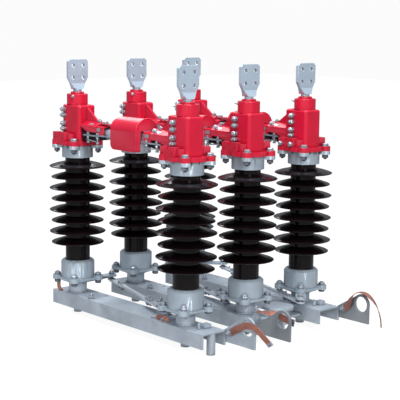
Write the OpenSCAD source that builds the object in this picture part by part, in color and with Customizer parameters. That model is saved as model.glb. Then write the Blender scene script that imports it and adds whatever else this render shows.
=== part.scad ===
// Three-pole outdoor disconnect switch with rotating post insulators.
// Millimetres, +Z up, +X along a pole from its far column to its near column, +Y from pole 1 to pole 3.
// The origin is the centre of the middle pole's bolt pattern, on the top face of its base channel.
// Pole 1 and pole 3 open outwards; every column turns about its own vertical axis.

/* [Layout] */
// Distance between the two column axes of a pole
column_gap = 600; // [560:10:640]
// Distance between neighbouring poles
pole_pitch = 260; // [240:10:300]
// Channel length past the far column's axis
far_overhang = 84; // [80:2:100]
// Channel length past the near column's axis
near_overhang = 139; // [130:1:150]

/* [Base channel] */
// Width of the base channel
channel_w = 100; // [96:2:110]
// Height of the base channel
channel_h = 48; // [44:1:56]
// Thickness of the channel's web
web_t = 5; // [4:0.5:7]
// Thickness of the channel's flanges
flange_t = 7; // [5:0.5:9]
// Diameter of a mounting hole
mount_hole_d = 15; // [12:0.5:18]
// Distance between mounting holes along the channel
mount_span = 346; // [320:2:360]
// Distance between mounting holes across the channel
mount_row = 64; // [56:1:66]

/* [Bearings] */
// Diameter of a bearing tube
tube_d = 64; // [60:1:70]
// Height of a bearing tube above the channel
tube_h = 37; // [32:1:42]
// Diameter of the shaft end under the channel
shaft_d = 30; // [26:1:34]
// Length of the shaft end below the channel's flanges
shaft_drop = 26; // [20:1:30]

/* [Insulators] */
// Diameter of the porcelain core
core_d = 86; // [80:1:92]
// Diameter of a large shed
shed_big_d = 198; // [190:1:204]
// Diameter of a small shed
shed_small_d = 185; // [176:1:190]
// Distance from shed to shed
shed_pitch = 38.6; // [38:0.1:39.2]
// Number of sheds
shed_count = 8; // [7:1:8]
// Diameter of the lower metal cup
cup_d = 118; // [112:1:124]
// Height of the lower metal cup
cup_h = 59; // [54:1:64]
// Chamfer round the top of the lower metal cup
cup_chamfer = 7; // [4:1:9]
// Diameter of the upper metal cap
cap_d = 108; // [102:1:114]
// Height of the upper metal cap
cap_h = 32; // [28:1:36]
// Height of the whole insulator between its metal faces
insulator_h = 483; // [478:1:490]

/* [Flanges and levers] */
// Distance of a flange bolt from the column axis, along X and along Y
bolt_offset = 51.5; // [49:0.5:54]
// Radius of a flange ear round its bolt
ear_r = 17; // [15:0.5:19]
// Thickness of the lower flange
lower_flange_t = 16; // [12:1:18]
// Thickness of the upper flange
upper_flange_t = 12; // [10:1:14]
// Thickness of a lever plate
lever_t = 8; // [6:1:10]
// Width of a lever plate
lever_w = 34; // [30:1:38]
// Distance of the tie rod's pivots from the column axes of the front and middle poles
lever_r = 142; // [138:1:144]
// Distance of the tie rod's pivots from the column axes of the back pole
lever_back_r = 130; // [126:1:132]

/* [Tie rod] */
// Diameter of the tie rod
rod_d = 14; // [12:1:18]
// Width of the rod's flat ends
strap_w = 28; // [24:1:32]
// Thickness of the rod's flat ends
strap_t = 6; // [5:0.5:8]
// Length of the rod's flat ends
strap_l = 130; // [110:5:150]
// Diameter of a pivot pin
pin_d = 14; // [10:1:16]

/* [Head housings] */
// Housing length from the column axis towards the arm
body_front = 60; // [56:1:64]
// Housing length from the column axis away from the arm
body_back = 43; // [40:1:46]
// Width of the housing
body_w = 74; // [70:1:80]
// Radius of the housing's upright edges
body_r = 14; // [10:1:18]
// Height of the housing with its flange
housing_h = 140; // [132:1:148]
// Thickness of the housing's flange
head_flange_t = 16; // [12:1:20]
// Diameter of the round part of the housing's flange
flange_round_d = 132; // [128:1:136]
// Height of the clamping blocks at the foot of the housing
block_h = 44; // [38:1:50]
// Length of a clamping block
block_l = 71; // [64:1:76]
// Diameter of the collar
collar_d = 73; // [70:1:76]
// Height of the collar
collar_h = 37; // [33:1:41]
// Diameter of the ring on the collar
ring_d = 47; // [43:1:51]
// Height of the ring on the collar
ring_h = 7; // [5:1:9]

/* [Arms] */
// Height of the arm's axis above the housing's foot
arm_z = 50.5; // [48:0.5:53]
// Distance of the hood's tip from the column axis
hood_tip = 152; // [144:1:158]
// Width of the arm's hood
hood_w = 60; // [56:1:64]
// Thickness of the hood's walls
hood_t = 6; // [4:0.5:8]
// Thickness of the stiffening rib over the hood
rib_t = 8; // [6:1:10]
// Diameter of the arm's conductor
conductor_d = 38; // [34:1:40]
// Width of the contact blade and jaw
contact_w = 50; // [44:1:54]
// Thickness of the contact blade
blade_t = 12; // [10:1:14]
// Gap between the blade and each side of the jaw
contact_gap = 0.5; // [0.4:0.1:1]
// How far the blade reaches past the middle of the pole
blade_reach = 30; // [24:1:34]
// Distance of the arm shroud's tip from the column axis
shroud_tip = 190; // [180:1:196]
// Width of the arm shroud
shroud_w = 54; // [50:1:56]
// Thickness of the arm shroud's walls
shroud_t = 5; // [3:0.5:5]

/* [Terminals] */
// Width of a terminal plate
pad_w = 82; // [76:1:88]
// Thickness of a terminal plate
pad_t = 12; // [10:1:14]
// Height of the plate's parallel part
pad_h = 63; // [60:1:70]
// Height of the plate's tapered part
taper_h = 41; // [38:1:46]
// Diameter of the terminal's stem
stem_d = 29; // [27:1:33]
// Distance between the terminal's bolt holes
pad_hole_gap = 42; // [38:1:44]
// Diameter of a terminal bolt hole
pad_hole_d = 14; // [12:0.5:16]

/* [Rain covers] */
// Length of the rain cover
cover_l = 141; // [134:1:148]
// Width of the rain cover
cover_w = 90; // [88:1:94]
// Height of the rain cover
cover_h = 108; // [104:1:112]
// Wall thickness of the rain cover
cover_t = 3; // [2:0.5:4]
// How far the cover reaches past the middle of the pole
cover_reach = 95; // [90:1:100]
// Radius of the cover's corners at its far end, seen from the side
cover_corner_r = 20; // [12:1:22]
// Radius of the cover's corners at its open end, seen from the side
cover_rim_r = 6; // [4:1:8]
// Width of the strap that joins the cover to its arm
stay_w = 26; // [20:1:32]
// Thickness of the strap that joins the cover to its arm
stay_t = 4; // [3:0.5:6]

/* [Earthing plates] */
// Thickness of the plate that carries the earthing shaft
plate_t = 8; // [6:1:10]
// Distance of the shaft hole from the channel's end
plate_reach = 97; // [92:1:102]
// Height of the shaft hole above the channel's top face
plate_hole_z = 25; // [22:1:28]
// Diameter of the shaft hole
plate_hole_d = 52; // [48:1:54]
// Width of metal round the shaft hole
plate_rim = 8; // [6:0.5:10]
// Length of the plate that overlaps the channel's flange
plate_lap = 40; // [34:1:60]

/* [Copper straps] */
// Width of a copper strap
strip_w = 22; // [18:1:26]
// Thickness of a copper strap
strip_t = 3; // [2:0.5:4]
// Height of the block under the middle pole's strap
strap_block_h = 28; // [24:1:32]

/* [Stops] */
// Diameter of the stop post beside a near column
stop_post_d = 8; // [6:1:12]
// Height of the stop post above the channel
stop_post_h = 22; // [16:1:30]
// Length of the stop block's sides
stop_block_l = 26; // [20:1:30]
// Height of the stop block above the channel
stop_block_h = 14; // [8:1:20]

/* [Crank] */
// Diameter of the crank disc
disc_d = 108; // [100:1:112]
// Thickness of the crank disc
disc_t = 8; // [6:1:10]
// Diameter of the crank's bearing drum
drum_d = 80; // [70:1:86]
// Distance of the crank's axis from the middle of the pole
crank_x = 336; // [330:1:342]
// Distance of the crank's axis from pole 3
crank_gap = 144; // [140:1:150]
// Diameter of the foot tube at the end of pole 1
foot_d = 28; // [26:1:32]

/* [Hidden] */

$fn = 64;
far_side = -1;
near_side = 1;
seat_gap = 0.3;
socket_depth = 20;
overlap = 1;

galvanised = [0.70, 0.74, 0.78];
cast_metal = [0.66, 0.70, 0.74];
zinc = [0.78, 0.82, 0.86];
paint_red = [0.80, 0.10, 0.20];
porcelain = [0.12, 0.06, 0.07];
copper = [0.72, 0.40, 0.28];

// Heights, from the channel's top face upwards
lever_z = tube_h + seat_gap;
lower_flange_z = lever_z + lever_t - overlap;
cup_z = lower_flange_z + lower_flange_t;
cup_top_z = cup_z + cup_h;
head_z = lower_flange_z + insulator_h;
cap_top_z = head_z - upper_flange_t;
cap_z = cap_top_z - cap_h;
housing_top_z = head_z + housing_h;
collar_top_z = housing_top_z + collar_h;
ring_top_z = collar_top_z + ring_h;
axis_z = head_z + arm_z;
stem_z = ring_top_z + seat_gap;
taper_z = stem_z + 8;
pad_z = taper_z + taper_h;
pad_top_z = pad_z + pad_h;
rod_z = tube_h - 11;
porcelain_bottom_z = cup_top_z - 30;
porcelain_top_z = cap_z + 20;
shed_clearance = 62;
last_shed_z = cup_top_z + shed_clearance;

middle_u = column_gap / 2;

// +1 where the pole opens towards -Y, -1 where it opens towards +Y
function hand(k) = k == 3 ? -1 : 1;
function pole_y(k) = (k - 2) * pole_pitch;
function polar(r, a) = [r * cos(a), r * sin(a)];

// Places children at a column, with +X along its arm
module at_column(k, side)
    translate([side * column_gap / 2, pole_y(k), 0])
        rotate([0, 0, side == near_side ? 180 : 0]) children();

// Places children at a column, with the world's axes
module at_foot(k, side)
    translate([side * column_gap / 2, pole_y(k), 0]) children();

module rounded_square(w, l, r)
    union() {
        square([w - 2 * r, l], center = true);
        square([w, l - 2 * r], center = true);
        for (sx = [-1, 1], sy = [-1, 1])
            translate([sx * (w / 2 - r), sy * (l / 2 - r)]) circle(r);
    }

// A straight bar of a given width between two points
module bar_2d(a, b, w) {
    d = b - a;
    translate(a) rotate(atan2(d[1], d[0]))
        translate([0, -w / 2]) square([norm(d), w]);
}

// ---- Base channels and bearings ----

module base(k) {
    length = column_gap + far_overhang + near_overhang;
    color(galvanised)
    translate([-column_gap / 2 - far_overhang, pole_y(k), 0])
    difference() {
        translate([0, -channel_w / 2, -channel_h]) cube([length, channel_w, channel_h]);
        translate([-overlap, -channel_w / 2 + flange_t, -channel_h - overlap])
            cube([length + 2 * overlap, channel_w - 2 * flange_t, channel_h - web_t + overlap]);
        for (sx = [-1, 1], sy = [-1, 1])
            translate([far_overhang + column_gap / 2 + sx * mount_span / 2, sy * mount_row / 2,
                       -web_t - overlap])
                cylinder(d = mount_hole_d, h = web_t + 2 * overlap);
        for (side = [far_side, near_side])
            translate([far_overhang + column_gap / 2 + side * column_gap / 2, 0, -web_t - overlap])
                cylinder(d = shaft_d, h = web_t + 2 * overlap);
    }
}

module bearings(k)
    for (side = [far_side, near_side])
        color(galvanised) at_foot(k, side) {
            cylinder(d = tube_d, h = tube_h);
            translate([0, 0, -channel_h - shaft_drop])
                cylinder(d = shaft_d, h = channel_h + shaft_drop + overlap);
            if (side == near_side) near_stops();
        }

// Stop posts beside the near column
stop_post_at = [80, -12];
stop_block_at = [64, 6];
module near_stops() {
    translate(stop_post_at) cylinder(d = stop_post_d, h = stop_post_h);
    translate(stop_block_at) cube([stop_block_l, stop_block_l, stop_block_h]);
}

// Block on the middle pole's web under its copper strap
strap_block_l = 16;
strap_block_w = 14;
strap_block_reach = 140;
module strap_block(k) color(galvanised)
    translate([plate_hole_x - strap_block_reach, pole_y(k) - channel_w / 2, 0])
        cube([strap_block_l, strap_block_w, strap_block_h]);

// ---- Insulators and their metal ends ----

// Half outline of one shed, from its rim back to the core
function shed_points(z, d) = [
    [core_d / 2, z + 17], [d / 2 - 22, z + 9], [d / 2 - 5, z + 3.4],
    [d / 2 - 0.6, z + 1], [d / 2 - 0.6, z - 1], [d / 2 - 3, z - 2.6],
    [d / 2 - 24, z + 0.6], [core_d / 2, z + 2]];
function shed_d(i) = i % 2 == 0 ? shed_small_d : shed_big_d;

module insulator(k, side) {
    outline = [for (i = [0 : shed_count - 1])
        for (p = [for (j = [7 : -1 : 0]) shed_points(last_shed_z + i * shed_pitch, shed_d(i))[j]]) p];
    color(porcelain) at_column(k, side)
        rotate_extrude()
            polygon(concat([[0, porcelain_bottom_z], [core_d / 2, porcelain_bottom_z]], outline,
                           [[core_d / 2, porcelain_top_z], [0, porcelain_top_z]]));
}

// The four ears of a flange
module ears(t) {
    neck = 2 * ear_r - 4;
    for (a = [45 : 90 : 315]) rotate([0, 0, a]) {
        translate([bolt_offset * sqrt(2), 0, 0]) cylinder(r = ear_r, h = t);
        translate([0, -neck / 2, 0]) cube([bolt_offset * sqrt(2), neck, t]);
    }
}

// Pivot of a lever while the switch is closed; the tie rod crosses the pole's axis
function lever_angle(k, side) = k == 3 ? (side == far_side ? 45 : -45) : (side == far_side ? 86 : 176);
function lever_reach(k) = k == 3 ? lever_back_r : lever_r;
function lever_pin(k, side) = polar(lever_reach(k), lever_angle(k, side));

// Metal cap, metal cup with its flange, and the lever plate with its pivot pin
module fittings(k, side) color(cast_metal) at_foot(k, side) {
    // the far pin passes through the rod's eye, the near pin stands just above it
    pin_foot_z = side == far_side ? rod_z - strap_t / 2 - 6 : rod_z + strap_t / 2 + seat_gap;
    difference() {
        union() {
            translate([0, 0, cap_z]) cylinder(d = cap_d, h = cap_h + upper_flange_t);
            translate([0, 0, cap_top_z]) ears(upper_flange_t);
        }
        translate([0, 0, cap_z - overlap])
            cylinder(d = core_d + 2 * seat_gap, h = porcelain_top_z - cap_z + overlap);
    }
    difference() {
        union() {
            translate([0, 0, lower_flange_z]) ears(lower_flange_t);
            rotate_extrude() polygon([[0, lower_flange_z], [cup_d / 2, lower_flange_z],
                [cup_d / 2, cup_top_z - cup_chamfer], [cup_d / 2 - cup_chamfer, cup_top_z],
                [0, cup_top_z]]);
            translate([0, 0, lever_z]) cylinder(d = tube_d + 20, h = lever_t + overlap);
            rotate([0, 0, lever_angle(k, side)]) {
                translate([0, -lever_w / 2, lever_z]) cube([lever_reach(k), lever_w, lever_t]);
                translate([lever_reach(k), 0, lever_z]) cylinder(r = lever_w / 2 + 1, h = lever_t);
                translate([lever_reach(k), 0, pin_foot_z])
                    cylinder(d = pin_d, h = lever_z - pin_foot_z + overlap);
            }
        }
        translate([0, 0, porcelain_bottom_z]) cylinder(d = core_d + 2 * seat_gap, h = cup_h);
    }
}

// ---- Tie rods ----

module tie_rod(k) {
    a = [-column_gap / 2, pole_y(k)] + lever_pin(k, far_side);
    b = [column_gap / 2, pole_y(k)] + lever_pin(k, near_side);
    dir = (b - a) / norm(b - a);
    color(zinc) {
        for (end = [a, b])
            translate([0, 0, rod_z - strap_t / 2]) linear_extrude(strap_t)
            difference() {
                union() {
                    translate(end) circle(strap_w / 2);
                    bar_2d(end, end + (end == a ? 1 : -1) * dir * strap_l, strap_w - 3);
                }
                translate(end) circle(pin_d / 2 + seat_gap);
            }
        translate([a[0] + dir[0] * (strap_l - 20), a[1] + dir[1] * (strap_l - 20), rod_z])
            rotate([0, 90, atan2(dir[1], dir[0])])
                cylinder(d = rod_d, h = norm(b - a) - 2 * (strap_l - 20));
    }
}

// ---- Head housings ----

// Heights of the hood above the arm's axis: lower edge, eaves and ridge
hood_low = 3;
hood_eaves = 23;
hood_ridge = 37;
rib_foot_u = 126;
// Length of the slanted cut under the hood on one side
runout_l = 42;
// Length and depth of the deeper cheek on the other side
cheek_l = 36;
cheek_drop = 14;
cheek_top = 10;

// Cross-section of the arm's hood, seen along the arm
module hood_section() {
    outer = hood_w / 2;
    inner = outer - hood_t;
    top = rib_t / 2;
    polygon([[-outer, hood_low], [-outer, hood_eaves], [-top, hood_ridge], [top, hood_ridge],
             [outer, hood_eaves], [outer, hood_low], [inner, hood_low],
             [inner, hood_eaves - 3], [top, hood_ridge - hood_t], [-top, hood_ridge - hood_t],
             [-inner, hood_eaves - 3], [-inner, hood_low]]);
}

// Cross-section of the shroud that carries the hood on over the conductor
module shroud_section() {
    outer = shroud_w / 2;
    inner = outer - shroud_t;
    polygon([[-outer, -8], [-outer, 22], [-outer + 4, 26], [outer - 4, 26], [outer, 22],
             [outer, -8], [inner, -8], [inner, 26 - shroud_t], [-inner, 26 - shroud_t],
             [-inner, -8]]);
}

// Height of the ears' bosses above the flange's round part
boss_h = 2;

// A clamping block on the flange, with a V notch in its top edge over two small holes
module clamping_block(from_u, from_v, extension) {
    notch_u = from_u + block_l / 2;
    difference() {
        union() {
            translate([from_u, from_v, head_z + overlap])
                cube([block_l, -from_v - body_w / 2 + overlap, block_h - overlap]);
            translate([from_u + block_l - overlap, from_v + 10, head_z + overlap])
                cube([extension, -from_v - 10 - body_w / 2 + overlap, block_h - 4 - overlap]);
        }
        translate([notch_u, from_v + 8, head_z + block_h]) rotate([90, 0, 0])
            linear_extrude(20) polygon([[-7, 1], [0, -11], [7, 1]]);
        for (s = [-1, 1])
            translate([notch_u + s * 24, from_v + 8, head_z + block_h - 20])
                rotate([90, 0, 0]) cylinder(d = 5, h = 20);
    }
}

module housing(k, side) color(paint_red) at_column(k, side) {
    half = bolt_offset + ear_r;
    translate([0, 0, head_z]) cylinder(d = flange_round_d, h = head_flange_t - boss_h);
    translate([0, 0, head_z]) ears(head_flange_t);
    rotate([0, 0, side == near_side ? 180 : 0]) {
        clamping_block(-half + 8, -half + 6, 22);
        // the block behind leaves the flange's corner bolt free
        rotate([0, 0, 180]) clamping_block(-half + 32, -half + 3, 6);
    }
    difference() {
        translate([(body_front - body_back) / 2, 0, head_z + overlap])
            linear_extrude(housing_h - overlap)
                rounded_square(body_front + body_back, body_w, body_r);
        translate([body_front - socket_depth, 0, axis_z]) rotate([0, 90, 0])
            cylinder(d = conductor_d + 2 * seat_gap, h = socket_depth + overlap);
    }
    translate([0, 0, housing_top_z - overlap]) cylinder(d = collar_d, h = collar_h + overlap);
    translate([0, 0, collar_top_z - overlap]) cylinder(d = ring_d, h = ring_h + overlap);
    difference() {
        translate([body_front - overlap, 0, axis_z]) rotate([90, 0, 90])
            linear_extrude(hood_tip - body_front + overlap) hood_section();
        // and runs out towards it on the other
        translate([0, -hood_w / 2 + hood_t + overlap, axis_z]) rotate([90, 0, 0])
            linear_extrude(hood_t + 2 * overlap)
                polygon([[body_front + 1, hood_low - overlap], [body_front + 1, hood_eaves - 5],
                         [body_front + runout_l, hood_low - overlap]]);
    }
    translate([hood_tip - overlap, 0, axis_z]) rotate([90, 0, 90])
        linear_extrude(shroud_tip - hood_tip + overlap) shroud_section();
    translate([0, rib_t / 2, 0]) rotate([90, 0, 0]) linear_extrude(rib_t)
        polygon([[body_front - overlap, axis_z + hood_ridge - 5], [hood_tip, axis_z + hood_ridge - 5],
                 [hood_tip, axis_z + hood_ridge + 1], [rib_foot_u, axis_z + hood_ridge + 1],
                 [body_front + 4, housing_top_z - 8], [body_front - overlap, housing_top_z - 8]]);
    // the hood's cheek grows deeper towards the housing on one side
    translate([0, hood_w / 2 - 1, axis_z]) rotate([90, 0, 0]) linear_extrude(hood_t - 2)
        polygon([[body_front - overlap, cheek_top], [body_front - overlap, -cheek_drop],
                 [body_front + cheek_l, -cheek_drop / 3], [rib_foot_u, hood_low],
                 [rib_foot_u, cheek_top]]);
}

// ---- Contacts ----

module conductor(length)
    translate([body_front - socket_depth, 0, axis_z]) rotate([0, 90, 0])
        cylinder(d = conductor_d, h = length - body_front + socket_depth);

jaw_root = 235;
jaw_tip = middle_u + 20;
jaw_top_z = axis_z + blade_t / 2 + contact_gap + 10;

module jaw(k) color(zinc) at_column(k, far_side) {
    conductor(jaw_root + 10);
    for (s = [-1, 1])
        translate([jaw_root, -contact_w / 2,
                   axis_z + (s > 0 ? blade_t / 2 + contact_gap : -blade_t / 2 - contact_gap - 10)])
            cube([jaw_tip - jaw_root, contact_w, 10]);
    translate([jaw_root - overlap, -contact_w / 2, axis_z - blade_t / 2 - contact_gap - 10])
        cube([10 + overlap, contact_w, blade_t + 2 * contact_gap + 20]);
}

module blade(k) color(zinc) at_column(k, near_side) {
    conductor(jaw_root + 10);
    translate([jaw_root, -contact_w / 2, axis_z - blade_t / 2])
        cube([middle_u + blade_reach - jaw_root, contact_w, blade_t]);
}

// Depth of the rain cover's lower edge below the arm's axis
cover_drop = 42.5;

// Side outline of the rain cover, rounded more at its far end than at its open end
module cover_side(l, h, far_r, open_r) union() {
    rounded_square(l, h, far_r);
    translate([l / 4, 0]) rounded_square(l / 2, h, open_r);
}

// Rain cover over the contacts; its side towards the opening swing stays closed
module rain_cover(k) {
    x_start = cover_reach - cover_l;
    bottom_z = axis_z - cover_drop;
    arch_z = bottom_z + cover_h - cover_w / 2;
    inner_l = cover_l - 2 * cover_t;
    color(paint_red) translate([0, pole_y(k), 0]) mirror([0, hand(k) < 0 ? 1 : 0, 0]) {
        difference() {
            intersection() {
                translate([x_start, 0, 0]) rotate([90, 0, 90]) linear_extrude(cover_l)
                    cover_outline(cover_w, bottom_z, arch_z);
                translate([x_start + cover_l / 2, cover_w, bottom_z + cover_h / 2])
                    rotate([90, 0, 0]) linear_extrude(2 * cover_w)
                        cover_side(cover_l, cover_h, cover_corner_r, cover_rim_r);
            }
            intersection() {
                translate([x_start + cover_t, 0, 0]) rotate([90, 0, 90]) linear_extrude(inner_l)
                    cover_outline(cover_w - 2 * cover_t, bottom_z - overlap, arch_z);
                translate([x_start + cover_l / 2, cover_w, bottom_z + cover_h / 2])
                    rotate([90, 0, 0]) linear_extrude(2 * cover_w) union() {
                        cover_side(inner_l + overlap, cover_h - 2 * cover_t + overlap,
                                   cover_corner_r - cover_t, cover_rim_r - cover_t + overlap);
                        // the bottom is open past the rounded corner
                        translate([cover_corner_r - cover_l / 2, -cover_h])
                            square([cover_l - cover_corner_r, cover_h]);
                    }
            }
            // the near arm leaves through the open lower part of the end and of the back
            translate([x_start + cover_t + 20, -26, bottom_z - overlap])
                cube([cover_l, cover_w, axis_z + 26 - bottom_z + overlap]);
            // the jaw passes through a slot in the other end and carries the cover
            translate([x_start - overlap, -contact_w / 2 - seat_gap, bottom_z - overlap])
                cube([cover_corner_r + 2 * overlap, contact_w + 2 * seat_gap,
                      jaw_top_z - bottom_z + overlap]);
        }
        // strap from the far arm's hood to the cover
        translate([0, stay_w / 2, 0]) rotate([90, 0, 0]) linear_extrude(stay_w)
            strip_2d([[hood_tip - middle_u, axis_z + 30], [hood_tip - middle_u + 6, axis_z + 30],
                      [hood_tip - middle_u + 16, axis_z + 31], [hood_tip - middle_u + 34, axis_z + 32],
                      [x_start + overlap, axis_z + 32]],
                     stay_t);
    }
}

module cover_outline(w, bottom_z, arch_z) {
    translate([0, arch_z]) circle(w / 2);
    translate([-w / 2, bottom_z]) square([w, arch_z - bottom_z]);
}

// ---- Terminals ----

// Outline of a terminal plate, across the pole
module pad_outline() {
    corner = 8;
    shoulder = pad_w / 2 - 11.5;
    foot = stem_d / 2 + 1;
    polygon([[-foot, taper_z], [-shoulder, pad_z - 20], [-pad_w / 2, pad_z],
             [-pad_w / 2, pad_top_z - corner], [-pad_w / 2 + corner, pad_top_z],
             [pad_w / 2 - corner, pad_top_z], [pad_w / 2, pad_top_z - corner],
             [pad_w / 2, pad_z], [shoulder, pad_z - 20], [foot, taper_z]]);
}

// Side outline of a terminal plate, along the pole
module pad_side() {
    foot = stem_d / 2 + 1;
    polygon([[-foot, taper_z], [-pad_t / 2, pad_z - 20], [-pad_t / 2, pad_top_z],
             [pad_t / 2, pad_top_z], [pad_t / 2, pad_z - 20], [foot, taper_z]]);
}

module terminal(k, side) color(zinc) at_column(k, side) {
    translate([0, 0, stem_z]) cylinder(d = stem_d, h = taper_z - stem_z + overlap);
    difference() {
        intersection() {
            translate([-stem_d, 0, 0]) rotate([90, 0, 90]) linear_extrude(2 * stem_d) pad_outline();
            translate([0, pad_w, 0]) rotate([90, 0, 0]) linear_extrude(2 * pad_w) pad_side();
        }
        for (sy = [-1, 1], sz = [0, 1])
            translate([-pad_t, sy * pad_hole_gap / 2, pad_z + sz * pad_hole_gap]) rotate([0, 90, 0])
                cylinder(d = pad_hole_d, h = 2 * pad_t);
    }
}

// ---- Earthing plates, copper straps, crank, foot tube ----

// The plate stands on the +Y flange of poles 1 and 3 and on the -Y flange of pole 2
function plate_side(k) = k == 2 ? -1 : 1;
channel_end_x = column_gap / 2 + near_overhang;
plate_hole_x = channel_end_x + plate_reach;
plate_boss_r = plate_hole_d / 2 + plate_rim;
plate_foot_z = -channel_h + 10;

module earth_plate(k) {
    y = pole_y(k) + plate_side(k) * (channel_w / 2 + plate_t / 2) + plate_t / 2;
    lap_x = channel_end_x - plate_lap;
    edge_x = plate_hole_x + 0.98 * plate_boss_r;
    color(galvanised) translate([0, y, 0]) rotate([90, 0, 0])
    difference() {
        union() {
            translate([plate_hole_x, plate_hole_z, 0]) cylinder(r = plate_boss_r, h = plate_t);
            linear_extrude(plate_t)
                polygon([[lap_x, plate_foot_z], [lap_x, -10], [channel_end_x - 14, -2],
                         [plate_hole_x - 0.48 * plate_boss_r, plate_hole_z + 0.85 * plate_boss_r],
                         [plate_hole_x, plate_hole_z], [edge_x, plate_hole_z],
                         [edge_x, plate_foot_z]]);
        }
        translate([plate_hole_x, plate_hole_z, -overlap])
            cylinder(d = plate_hole_d, h = plate_t + 2 * overlap);
    }
}

// Flat strip of constant thickness along a list of points
function strip_normal(p, i) =
    let (a = p[max(i - 1, 0)], b = p[min(i + 1, len(p) - 1)], d = b - a) [-d[1], d[0]] / norm(d);
module strip_2d(p, t)
    polygon(concat([for (i = [0 : len(p) - 1]) p[i] - strip_normal(p, i) * t / 2],
                   [for (i = [len(p) - 1 : -1 : 0]) p[i] + strip_normal(p, i) * t / 2]));

// Routes of the copper straps from the plate's shaft hole: along the pole, across it from the
// plate's inner face, upwards, and the turn of the strap's width from level (0) to upright (90)
lug_y = strip_t / 2;
lug_z = strap_block_h - plate_hole_z + strip_t / 2;
strap_routes = [
    [[-84, -lug_y, -31, 90], [-70, -lug_y, -26, 90], [-56, -3, -17, 90], [-36, -5, -7, 90],
     [-6, -7, 7, 90], [12, -8, 12, 90], [26, -8, 13, 90], [38, -6, 11, 90],
     [54, 0, -1, 90], [67, 8, -17, 90], [76, 15, -29, 90], [85, 22, -42, 90]],
    [[-142, 7, lug_z, 0], [-122, 7, lug_z, 0], [-106, 7, 6, 5], [-88, 7, 8, 18],
     [-66, 9, 9, 40], [-42, 11, 8, 65], [-20, 9, 5, 85], [2, 8, 2, 90],
     [24, 8, -1, 90], [36, 8, -3, 90]],
    [[-84, -lug_y, -31, 90], [-68, -lug_y, -25, 90], [-54, -4, -14, 90], [-42, -10, 1, 80],
     [-32, -12, 17, 50], [-22, -8, 33, 20], [-10, -2, 40, 0], [6, 0, 42, 0],
     [24, 0, 39, 0], [42, 0, 30, -10], [60, 0, 17, -25], [74, 0, 0, -40],
     [84, 0, -20, -48], [90, 0, -41, -48], [92, 0, -61, -48]]];

// Four corners of a flat strap's section at each point of its route
function strap_rings(p, w, t) = [for (i = [0 : len(p) - 1])
    let (a = p[max(i - 1, 0)], b = p[min(i + 1, len(p) - 1)],
         step = [b[0] - a[0], b[1] - a[1], b[2] - a[2]], along = step / norm(step),
         out = cross(along, [0, 1, 0]), up = out / norm(out), level = cross(up, along),
         wide = cos(p[i][3]) * level + sin(p[i][3]) * up, thick = cross(along, wide),
         centre = [p[i][0], p[i][1], p[i][2]])
    [for (s = [[-1, -1], [1, -1], [1, 1], [-1, 1]])
        centre + s[0] * wide * w / 2 + s[1] * thick * t / 2]];

module copper_strap(k) {
    rings = strap_rings(strap_routes[k - 1], strip_w, strip_t);
    last = 4 * (len(rings) - 1);
    sides = [for (i = [0 : len(rings) - 2], j = [0 : 3])
        let (a = 4 * i + j, b = 4 * i + (j + 1) % 4)
        for (f = [[a, a + 4, b + 4], [a, b + 4, b]]) f];
    color(copper)
    translate([plate_hole_x, pole_y(k) + plate_side(k) * channel_w / 2, plate_hole_z])
        polyhedron([for (ring = rings) for (corner = ring) corner],
                   concat([[0, 1, 2], [0, 2, 3]], sides,
                          [[last + 2, last + 1, last], [last + 3, last + 2, last]]));
}

module crank() color(galvanised) {
    disc_z = 4;
    bracket_w = 40;
    translate([crank_x, pole_y(3) - crank_gap, 0]) {
        translate([0, 0, -channel_h]) cylinder(d = drum_d, h = channel_h + disc_z);
        translate([0, 0, disc_z - overlap]) cylinder(d = disc_d, h = disc_t + overlap);
        translate([-bracket_w / 2, 0, -channel_h + 14])
            cube([bracket_w, crank_gap - channel_w / 2, 8]);
    }
}

module foot_tube() color(galvanised)
    translate([channel_end_x - 14, pole_y(1), -channel_h - shaft_drop])
        cylinder(d = foot_d, h = channel_h + shaft_drop - web_t);

base(1);  // base_1
base(2);  // base_2
base(3);  // base_3
bearings(1);  // bearings_1
union() { bearings(2); strap_block(2); }  // bearings_2
bearings(3);  // bearings_3
insulator(1, far_side);  // insulator_far_1
insulator(1, near_side);  // insulator_near_1
for (side = [far_side, near_side]) insulator(2, side);  // insulators_2
insulator(3, far_side);  // insulator_far_3
insulator(3, near_side);  // insulator_near_3
fittings(1, far_side);  // fittings_far_1
fittings(1, near_side);  // fittings_near_1
for (side = [far_side, near_side]) fittings(2, side);  // fittings_2
fittings(3, far_side);  // fittings_far_3
fittings(3, near_side);  // fittings_near_3
housing(1, far_side);  // housing_far_1
housing(1, near_side);  // housing_near_1
for (side = [far_side, near_side]) housing(2, side);  // housings_2
housing(3, far_side);  // housing_far_3
housing(3, near_side);  // housing_near_3
jaw(1);  // jaw_1
blade(1);  // blade_1
union() { jaw(2); blade(2); }  // contacts_2
jaw(3);  // jaw_3
blade(3);  // blade_3
terminal(1, far_side);  // terminal_far_1
terminal(1, near_side);  // terminal_near_1
for (side = [far_side, near_side]) terminal(2, side);  // terminals_2
terminal(3, far_side);  // terminal_far_3
terminal(3, near_side);  // terminal_near_3
rain_cover(1);  // rain_cover_1
rain_cover(2);  // rain_cover_2
rain_cover(3);  // rain_cover_3
tie_rod(1);  // tie_rod_1
tie_rod(2);  // tie_rod_2
tie_rod(3);  // tie_rod_3
earth_plate(1);  // earth_plate_1
earth_plate(2);  // earth_plate_2
earth_plate(3);  // earth_plate_3
copper_strap(1);  // copper_strap_1
copper_strap(2);  // copper_strap_2
copper_strap(3);  // copper_strap_3
crank();
foot_tube();
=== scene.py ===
"""Looks of the three-pole outdoor disconnect switch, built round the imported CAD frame.

Metres, +Z up. Pole 1 is at the lowest Y, each pole's far column is at -X and its near column at +X.
A side is FAR or NEAR, the sign of its column's x. Helpers take millimetres in a pole's own frame:
x as in the part, v across the pole, z above its channel.
"""
import math

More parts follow.
